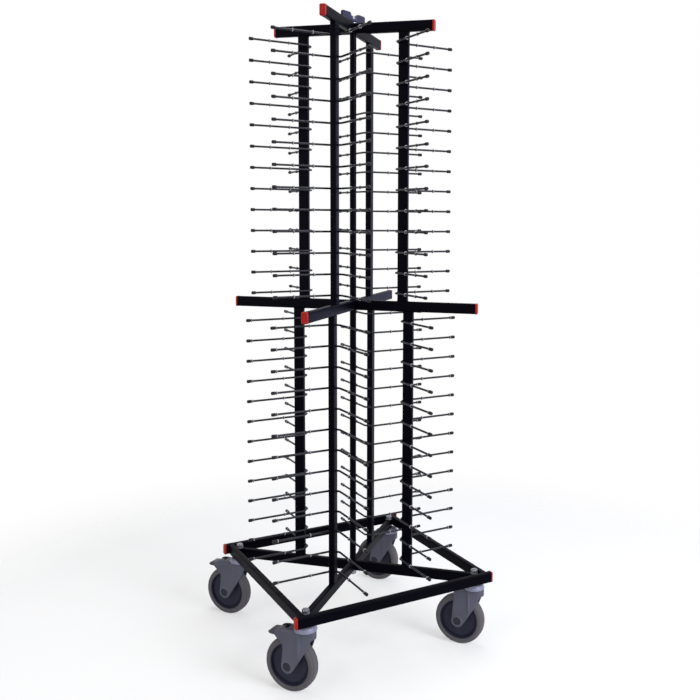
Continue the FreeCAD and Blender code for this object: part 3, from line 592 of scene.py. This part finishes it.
tip_black = moulded("tip_cap_plastic", (0.0085, 0.0085, 0.0098), (0.0055, 0.0055, 0.0064), 0.34, 0.15,
                    grain=900.0)
dome = np.linspace(0, math.pi / 2, 4)
tip_profile = [(-tip_socket, wire_r), (-tip_socket, tip_r - tip_rim), (-tip_socket + tip_rim, tip_r)]
tip_profile += [(tip_wall - dome_long * (1 - math.sin(a)), tip_r - dome_wide * (1 - math.cos(a)))
                for a in dome]
tip_grid = turned(tip_profile, np.zeros(3), -Y, 10)
copies = np.concatenate([spread(tip_grid, side, bend + wire_leg, heights, range(4))
                         for side, bend, heights in rod_sets.values()])
faces = grid_faces(*tip_grid.shape[:2], len(copies))
piece("rod_tip_caps", copies, faces, tip_black, "frame", "tip_black", "tip_caps")

# Stop rings: pale rubber rings pushed along the wires, two on each leg.
# Each side has an inner and an outer set, and a set moves together.
ring_out = 0.005
ring_half = 0.0013
ring_edge = 0.0006
ring_places = {"inner": {"lower": 0.064, "upper": 0.058}, "outer": {"lower": 0.162, "upper": 0.117}}


def pale_rubber():
    """Soft pale rubber: dusty mottling, a dull sheen and a fine pebble bump."""
    shade, material = new_finish("pale_rubber")
    spot = shade.node("TexCoord", output="Object")
    dust = shade.node("TexNoise", None, {"Vector": spot, "Scale": 310.0, "Detail": 4.0})
    pebble = shade.node("TexVoronoi", None, {"Vector": spot, "Scale": 2600.0})
    bump = shade.node("Bump", None, {"Height": pebble, "Strength": 0.15, "Distance": 0.0002})
    tint = blend_colours(shade, dust, (0.24, 0.24, 0.26), (0.36, 0.36, 0.38))
    return seal(shade, material, 0.2, Base_Color=tint, Roughness=0.5 + dust * 0.2, Normal=bump)


ring_rubber = pale_rubber()
ring_profile = sleeve(wire_r, ring_out, -ring_half, ring_half, ring_edge)
ring_grid = turned(ring_profile, np.zeros(3), -Y, 10)
for turn, side_name in enumerate(("front", "right", "rear", "left")):
    for place, along in ring_places.items():
        copies = np.concatenate([spread(ring_grid, side, bend + along[level], heights, [turn])
                                 for level, (side, bend, heights) in rod_sets.items()])
        faces = grid_faces(*ring_grid.shape[:2], len(copies), ends=False)
        rings = "rings_%s_%s" % (side_name, place)
        piece(rings, copies, faces, ring_rubber, rings, "ring_grey", "stop_" + rings)

# Castor stems and swivel cups: a zinc king pin bolted up through each diagonal, and a pale
# grey moulded cup that covers the swivel's upper race.
cup_plastic = moulded("cup_plastic", (0.25, 0.255, 0.35), (0.19, 0.195, 0.28), 0.28, 0.40)
refinish("castor_bolts", threaded_zinc)
cup_low, cup_high = np.array(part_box("castor_cups"))
cup_r = cup_high[0] - castor_at
cup_tall = cup_high[2] - cup_low[2]
cup_edge = 0.0012
cup_band, cup_step = 0.0045, 0.0008
shoulder_low, shoulder_set, shoulder_in = 0.0056, 0.0010, 0.0090
shoulder = np.linspace(0.0, math.pi / 2, 7)
cup_profile = [(0, stem_r), (0, cup_r - cup_edge), (cup_edge, cup_r), (cup_band, cup_r),
               (cup_band + 0.0007, cup_r - cup_step)]
cup_profile += [(shoulder_low + (cup_tall - shoulder_low) * math.sin(a),
                 cup_r - shoulder_set - shoulder_in * (1 - math.cos(a))) for a in shoulder]
cup_profile.append((cup_tall, stem_r))
grids = [turned(cup_profile, np.array([sx * castor_at, sy * castor_at, cup_low[2]]), Z, 56)
         for sx, sy in ARMS.values()]
points, faces = joined(grids, ends=False)
piece("swivel_cups", points, faces, cup_plastic, "frame", "cup_pale", "castor_cups")

# Castor wheels: a dished black hub with a raised rim and boss, and a grey-brown tyre
# with a shallow groove near each shoulder, bonded round it. All four trail the same way.
wheel_r = 0.075
wheel_half = 0.0165
hub_r = 0.059


def joint(name):
    return next(j for j in frame["joints"] if j["name"] == name)


def both_sides(half):
    """A half profile followed by its mirror image across the wheel's middle plane."""
    return half + [(-along, radius) for along, radius in reversed(half)]


def rubber_tyre():
    """Grey-brown rubber: scuffed tread, dusty sides and a fine grain."""
    shade, material = new_finish("grey_tyre_rubber")
    spot = shade.node("TexCoord", output="Object")
    scuff = shade.node("TexNoise", None, {"Vector": spot, "Scale": 95.0, "Detail": 6.0, "Roughness": 0.7})
    cloud = shade.node("TexNoise", None, {"Vector": spot, "Scale": 16.0, "Detail": 3.0})
    grain = shade.node("TexNoise", None, {"Vector": spot, "Scale": 1400.0, "Detail": 2.0})
    tint = blend_colours(shade, cloud, (0.074, 0.069, 0.076), (0.110, 0.104, 0.113))
    dusty = blend_colours(shade, scuff * 0.22, tint, (0.16, 0.148, 0.160))
    bump = shade.node("Bump", None, {"Height": grain + scuff, "Strength": 0.14, "Distance": 0.0005})
    return seal(shade, material, 0.14, Base_Color=dusty, Roughness=0.50 + scuff * 0.2, Normal=bump)


tyre_rubber = rubber_tyre()
hub_plastic = moulded("hub_plastic", (0.028, 0.030, 0.052), (0.018, 0.019, 0.034), 0.34, 0.10)
cap_plastic = moulded("axle_cap_plastic", (0.032, 0.033, 0.044), (0.022, 0.023, 0.032), 0.36, 0.12)
half_tyre = [(wheel_half - 0.0016, hub_r), (wheel_half - 0.0003, hub_r + 0.0012),
             (wheel_half, hub_r + 0.0030),
             (wheel_half - 0.0002, wheel_r - 0.0064), (wheel_half - 0.0010, wheel_r - 0.0042),
             (wheel_half - 0.0028, wheel_r - 0.0022), (wheel_half - 0.0046, wheel_r - 0.0012),
             (wheel_half - 0.0052, wheel_r - 0.0024), (wheel_half - 0.0064, wheel_r - 0.0024),
             (wheel_half - 0.0072, wheel_r - 0.0006), (wheel_half - 0.0084, wheel_r - 0.0001),
             (wheel_half - 0.0110, wheel_r)]
half_hub = [(0.0174, 0.0062), (0.0174, 0.0155), (0.0166, 0.0172), (0.0105, 0.0188), (0.0092, 0.0215),
            (0.0086, 0.0290), (0.0094, 0.0400), (0.0104, 0.0475), (0.0102, 0.0500), (0.0078, 0.0520),
            (0.0070, 0.0538), (0.0076, 0.0556), (0.0138, 0.0572), (0.0148, 0.0578), (0.0150, hub_r)]
for corner in ARMS:
    spin = joint("wheel_%s_spin" % corner)
    axle, middle = np.array(spin["axis"]), np.array(spin["pos_m"])
    points = turned(both_sides(half_tyre), middle, axle, 96)
    piece("tyre_" + corner, points, grid_faces(*points.shape[:2], ends=False), tyre_rubber,
          "wheel_" + corner, "tyre_grey", "castor_tyre_" + corner, sharp=50)
    points = turned(both_sides(half_hub), middle, axle, 80)
    piece("hub_" + corner, points, grid_faces(*points.shape[:2], ends=False), hub_plastic,
          "wheel_" + corner, "hub_dark", "castor_hub_" + corner, sharp=50)

# Castor forks: one grey moulding each. Two legs rise from the axle bosses, fold at a ridge into a
# nose under the swivel and, on the braked ones, spread into cheeks that carry the pedal.
braked_corners = ("front_left", "rear_left")
leg_half, leg_half_top = 0.0270, 0.0228
leg_wall, leg_wall_top = 0.0070, 0.0034
nose_tip = -0.0318
fold = math.tan(math.radians(10.0))
rib_tall, rib_wide = 0.0026, 0.0026
roll_back, roll_nose = 0.0090, 0.0022
boss_r = 0.019
edge_round = 0.0022
crown_top = cup_low[2] - 0.0001
crown_low = crown_top - 0.020
crown_back = 0.050
trail = 0.0425
waist_low, waist_back = 0.085, 0.0600
slope_low = 0.0658
cheek_tail = [(0.159, 0.0858), (0.166, 0.0833), (0.1714, 0.0760), (crown_top, 0.0640)]
cap_proud = 0.0010


def eased(x, knots, values):
    """Straight lines through the knots, averaged over two millimetres either way."""
    shifts = np.linspace(-0.002, 0.002, 9)
    return np.mean([np.interp(x + shift, knots, values) for shift in shifts], axis=0)


def fork_back(z, braked):
    """Back edge of a leg: round the boss, in to a waist, then straight up or out to the cheek's tail."""
    boss = trail + np.sqrt(np.clip(boss_r ** 2 - (z - wheel_r) ** 2, 0, None))
    waist = [(waist_low, waist_back), (0.119, 0.0572)]
    plain = [(crown_top - 0.012, 0.0560), (crown_top, 0.0520)]
    cheek = [(0.129, 0.0590), (0.137, 0.0630), (0.1425, 0.0690), (0.1475, 0.0780), (0.153, 0.0838)]
    knots, values = zip(*(waist + (cheek + cheek_tail if braked else plain)))
    low = np.maximum(boss, waist_back * (z > wheel_r))
    return np.where(z < waist_low, low, eased(z, knots, values))


def fork_front(z):
    """Front edge of a leg: round the boss, then a steepening slope up to the nose."""
    boss = trail - np.sqrt(np.clip(boss_r ** 2 - (z - wheel_r) ** 2, 0, None))
    slope = [(slope_low, 0.0259), (0.0955, 0.0062), (0.124, -0.0108), (0.140, -0.0176), (0.150, -0.0218),
             (0.1545, -0.0262), (0.158, nose_tip)]
    knots, values = zip(*slope)
    return np.where(z < slope_low, boss, eased(z, knots, values))


def fork_half(u, z):
    """Half width and the ridge's place: the width tapers up the leg, carries a thin rib on the ridge,
    closes in a round nose ahead of it and rolls over at the top edge."""
    ridge = np.interp(z, (0.087, 0.172), (0.006, 0.010))
    straight = leg_half + (leg_half_top - leg_half) * smooth(z, 0.100, 0.160)
    rib = rib_tall * np.exp(-((u - ridge) / rib_wide) ** 2) * smooth(z, 0.100, 0.125)
    roll = roll_nose + (roll_back - roll_nose) * smooth(u, 0.010, 0.028)
    tail_z, tail_u = zip(*reversed(cheek_tail))
    top = np.interp(u, tail_u, tail_z)
    lip = np.clip(1 - (top - z) / roll, 0, 1)
    share = np.clip((ridge - u) / (ridge - nose_tip), 0, 1)
    folded = fold * (ridge - nose_tip) * share
    width = straight * np.sqrt(1 - share ** 2) + (rib - folded) * (1 - share)
    return width - np.minimum(roll * (1 - np.sqrt(1 - lip ** 2)), width), ridge


def fork_leg(braked):
    """One leg: at each height a closed loop runs along the outside to the nose and back inside."""
    arc = wheel_r - boss_r * np.cos(np.linspace(0.04, 1.06, 9))
    rise = np.linspace(0.0670, crown_top - edge_round, 72)
    lip = crown_top - edge_round + edge_round * np.sin(np.linspace(0.2, math.pi / 2, 6))
    z = np.concatenate([arc, rise, lip])[:, None]
    back, front = fork_back(z, braked), fork_front(z)
    bevel = np.minimum(edge_round * 0.8, (back - front) / 5)
    ridge = np.clip(fork_half(0.0, z)[1], front + 2.2 * bevel, back - 2.2 * bevel)
    behind = (1 - (1 - np.linspace(0, 1, 15)) ** 2)[None]
    ahead = (np.linspace(0, 1, 21)[1:] ** 1.35)[None]
    run = np.concatenate([back - bevel + (ridge - back + bevel) * behind,
                          ridge + (front + bevel - ridge) * ahead], 1)
    outside = fork_half(run, z)[0]
    wall = leg_wall + (leg_wall_top - leg_wall) * smooth(z, 0.105, 0.155)
    inside = np.clip(outside - wall, 0, None)
    tip_out, tip_in = fork_half(front, z)[0], np.clip(fork_half(front, z)[0] - wall, 0, None)
    soft = np.minimum(bevel, (tip_out - tip_in) / 3)
    heel_out, heel_in = outside[:, :1] - bevel, inside[:, :1] + bevel * 0.5
    u = np.concatenate([run, front, front, run[:, ::-1], back, back], 1)
    v = np.concatenate([outside, tip_out - soft, tip_in + soft, inside[:, ::-1], heel_in, heel_out], 1)
    return np.stack([u, v, np.broadcast_to(z, u.shape)], -1)


def fork_crown():
    """The roof between the legs: the plan of the nose and sides, set in a little, from crown to top."""
    bend, tip = 0.012, nose_tip + 0.0012
    closing = 1 - (1 - np.linspace(0, 1, 21)[1:]) ** 2
    u = np.concatenate([np.linspace(crown_back, bend, 8), bend + (tip - bend) * closing])
    rows = []
    for z, inset in ((crown_low, 0.0020), (crown_top - 0.0016, 0.0012), (crown_top - 0.0004, 0.0020)):
        half = np.clip(fork_half(u, np.full_like(u, crown_top - edge_round))[0] - inset, 0.0001, None)
        loop_u, loop_v = np.concatenate([u, u[::-1]]), np.concatenate([half, -half[::-1]])
        rows.append(np.stack([loop_u, loop_v, np.full_like(loop_u, z)], 1))
    return np.stack(rows)


def placed(points, corner):
    """Points in the castor's own frame (trailing, across, up), moved to its place."""
    origin = np.array(joint("castor_%s_swivel" % corner)["pos_m"]) * (X + Y)
    back = np.array(joint("wheel_%s_spin" % corner)["pos_m"]) * (X + Y) - origin
    back = back / np.linalg.norm(back)
    return origin + points[..., :1] * back + points[..., 1:2] * np.cross(Z, back) + points[..., 2:] * Z


def axle_disc(at, way, profile):
    """A turned disc on a leg's outer face, in the castor's own frame."""
    return turned(profile, np.array([trail, way * at, wheel_r]), np.array([0.0, way, 0.0]), 40)


fork_plastic = moulded("fork_plastic", (0.090, 0.092, 0.128), (0.068, 0.069, 0.098), 0.30, 0.28, grain=640.0)
boss_rim = [(-0.0004, boss_r - 0.0010), (0.0006, boss_r - 0.0024), (0.0012, 0.0150), (0.0012, 0.0122),
            (-0.0004, 0.0114)]
axle_cap = [(-0.0008, 0.0118), (0.0, 0.0110), (0.0003, 0.0100), (-0.0004, 0.0085), (-0.0006, 0.0040),
            (-0.0002, 0.0020)]
for corner in ARMS:
    leg = fork_leg(corner in braked_corners)
    parts = [leg, leg * np.array([1, -1, 1]), fork_crown()]
    parts += [axle_disc(leg_half, way, boss_rim) for way in (-1, 1)]
    points, faces = joined([placed(part, corner) for part in parts])
    piece("fork_" + corner, points, faces, fork_plastic, "castor_" + corner, "fork_grey",
          "castor_fork_" + corner, sharp=34)
    discs = [axle_disc(leg_half + cap_proud, way, axle_cap) for way in (-1, 1)]
    points, faces = joined([placed(disc, corner) for disc in discs])
    piece("axle_caps_" + corner, points, faces, cap_plastic, "castor_" + corner, "axle_dark",
          "castor_axle_" + corner)

# Brake pedals on the two left-hand castors: a dark violet-grey moulded lever on a cross pin
# between the fork's cheeks, with a shoe below it that comes down on the tyre.
pedal_half = 0.0182
pedal_bevel = 0.0018
pedal_round = 0.003


def slab(outline, half, bevel):
    """A closed outline in the upright plane carried across, set in by the bevel at both faces."""
    ahead = np.roll(outline, -1, 0) - outline
    behind = np.roll(ahead, 1, 0)
    ahead = ahead / np.linalg.norm(ahead, axis=1, keepdims=True)
    behind = behind / np.linalg.norm(behind, axis=1, keepdims=True)
    inward = np.stack([ahead[:, 1] + behind[:, 1], -ahead[:, 0] - behind[:, 0]], 1)
    inward = inward / np.linalg.norm(inward, axis=1, keepdims=True)
    rows = []
    for across, inset in ((-half, bevel), (-half + bevel * 0.3, bevel * 0.3), (-half + bevel, 0.0),
                          (half - bevel, 0.0), (half - bevel * 0.3, bevel * 0.3), (half, bevel)):
        flat = outline + inward * inset
        rows.append(np.stack([flat[:, 0], np.full(len(flat), across), flat[:, 1]], 1))
    return np.stack(rows)


def rounded_path(corners, radius, steps=5):
    """A polygon with each corner replaced by a short curve between points set back along its sides."""
    corners = np.array(corners)
    path = []
    for k, point in enumerate(corners):
        before, after = corners[k - 1] - point, corners[(k + 1) % len(corners)] - point
        reach = min(radius, np.linalg.norm(before) * 0.45, np.linalg.norm(after) * 0.45)
        first = point + before / np.linalg.norm(before) * reach
        last = point + after / np.linalg.norm(after) * reach
        t = np.linspace(0, 1, steps)[:, None]
        path.append(first * (1 - t) ** 2 + 2 * point * t * (1 - t) + last * t ** 2)
    return np.concatenate(path)


pedal_plastic = moulded("pedal_plastic", (0.066, 0.061, 0.082), (0.046, 0.042, 0.058), 0.34, 0.25)
lever = [(-0.0065, 0.002), (-0.0050, 0.0095), (0.000, 0.0125), (0.007, 0.0112), (0.015, 0.0066),
         (0.024, 0.0048), (0.034, 0.0042), (0.0408, 0.0005), (0.0400, -0.0035), (0.035, -0.0060),
         (0.019, -0.0070), (0.015, -0.0115), (0.008, -0.0108), (0.001, -0.0068), (-0.005, -0.0045)]
for corner in braked_corners:
    pin = np.array(joint("pedal_%s_press" % corner)["pos_m"])
    pin_u = np.linalg.norm((pin - np.array(joint("castor_%s_swivel" % corner)["pos_m"]))[:2])
    path = rounded_path(np.array(lever) + np.array([pin_u, pin[2]]), pedal_round)
    points = placed(slab(path, pedal_half, pedal_bevel), corner)
    piece("pedal_lever_" + corner, points, grid_faces(*points.shape[:2]), pedal_plastic, "pedal_" + corner,
          "pedal_violet", "brake_pedal_" + corner, sharp=45)

# Studio: a pale floor that fades into the white surround, broad soft lamps and a sky that is
# white to the camera and in reflections. The key lamp stands in front and to the right.
floor_half = 6.0
fade_start, fade_end = 0.5, 1.9
floor_veil = 0.5
sky_level = 0.22
floor_corners = [(x * floor_half, y * floor_half, 0.0) for x, y in ((-1, -1), (1, -1), (1, 1), (-1, 1))]
floor_mesh = bpy.data.meshes.new("studio_floor")
floor_mesh.from_pydata(floor_corners, [], [(0, 1, 2, 3)])
studio_floor = bpy.data.objects.new("studio_floor", floor_mesh)
bpy.context.scene.collection.objects.link(studio_floor)
shade, floor_paint = new_finish("floor_paint")
spot = shade.node("TexCoord", output="Object")
away = shade.node("VectorMath", {"operation": "LENGTH"}, {0: spot}, "Value")
fade = shade.node("MapRange", {"interpolation_type": "SMOOTHSTEP"},
                  {"Value": away, "From Min": fade_start, "From Max": fade_end})
seen = shade.node("LightPath", output="Is Camera Ray")
paint = shade.node("BsdfPrincipled", None, {"Base Color": (0.95, 0.95, 0.95, 1), "Roughness": 0.8})
clear = shade.node("BsdfTransparent")
veil = shade.maths("MAXIMUM", fade, seen * floor_veil)
surface = shade.node("MixShader", None, {0: veil, 1: paint, 2: clear})
shade.node("OutputMaterial", None, {"Surface": surface})
floor_mesh.materials.append(floor_paint)

world = bpy.data.worlds.new("studio_sky")
bpy.context.scene.world = world
world.use_nodes = True
world.node_tree.nodes.clear()
sky = Shade(world.node_tree)
seen = sky.node("LightPath", output="Is Camera Ray")
mirrored = sky.node("LightPath", output="Is Glossy Ray")
through = sky.node("LightPath", output="Is Transmission Ray")
white = sky.maths("MAXIMUM", sky.maths("MAXIMUM", seen, mirrored), through)
level = sky_level + (1 - sky_level) * white
light = sky.node("Background", None, {"Color": (1, 1, 1, 1), "Strength": level})
sky.node("OutputWorld", None, {"Surface": light})


def lamp(name, place, aim, size, watts, colour=(1.0, 1.0, 1.0)):
    data = bpy.data.lights.new(name, "AREA")
    data.shape = "RECTANGLE"
    data.size, data.size_y = size
    data.energy = watts
    data.color = colour
    made = bpy.data.objects.new(name, data)
    bpy.context.scene.collection.objects.link(made)
    made.location = place
    away = Vector(place) - Vector(aim)
    made.rotation_euler = away.to_track_quat("Z", "Y").to_euler()


lamp("key_right", (1.4, -3.3, 2.2), (0, 0, 0.9), (1.6, 2.2), 150, (0.93, 0.95, 1.0))
lamp("fill_left", (-3.2, -0.8, 1.7), (0, 0, 0.9), (1.8, 2.4), 30)
lamp("rim_right", (3.4, 1.6, 1.1), (0, 0, 1.0), (2.4, 2.4), 16, (0.22, 0.32, 1.0))
lamp("top_soft", (0.2, 0.4, 3.6), (0, 0, 1.0), (2.0, 2.0), 60)

# Camera: the photograph's standpoint, found from the frame's corners, the rod rows and the wheels.
# A small image shift keeps the object where it stands in the picture.
view_turn = math.radians(-25.757)
view_down = math.radians(5.547)
view_roll = math.radians(0.515)
view_yaw = math.radians(-5.070)
stand_off = 2.5986
eye_height = 1.2626
focal_px, centre_x, centre_y, image_px = 871.8, 430.0, 304.0, 700.0
back = np.array([math.sin(view_turn), -math.cos(view_turn), 0.0])
right = np.array([math.cos(view_turn), math.sin(view_turn), 0.0])
aim_back = back * math.cos(view_yaw) + right * math.sin(view_yaw)
level_right = right * math.cos(view_yaw) - back * math.sin(view_yaw)
forward = -aim_back * math.cos(view_down) - Z * math.sin(view_down)
level_up = np.cross(level_right, forward)
cam_right = level_right * math.cos(view_roll) + level_up * math.sin(view_roll)
cam_up = level_up * math.cos(view_roll) - level_right * math.sin(view_roll)
camera_data = bpy.data.cameras.new("photo_camera")
camera_data.sensor_width = 36.0
camera_data.lens = focal_px * camera_data.sensor_width / image_px
camera_data.shift_x = (image_px / 2 - centre_x) / image_px
camera_data.shift_y = (centre_y - image_px / 2) / image_px
camera = bpy.data.objects.new("photo_camera", camera_data)
bpy.context.scene.collection.objects.link(camera)
place = back * stand_off + Z * eye_height
axes = np.stack([cam_right, cam_up, -forward, place], 1)
camera.matrix_world = Matrix(axes.tolist() + [[0, 0, 0, 1]])
bpy.context.scene.camera = camera
bpy.context.scene.view_settings.view_transform = "Standard"
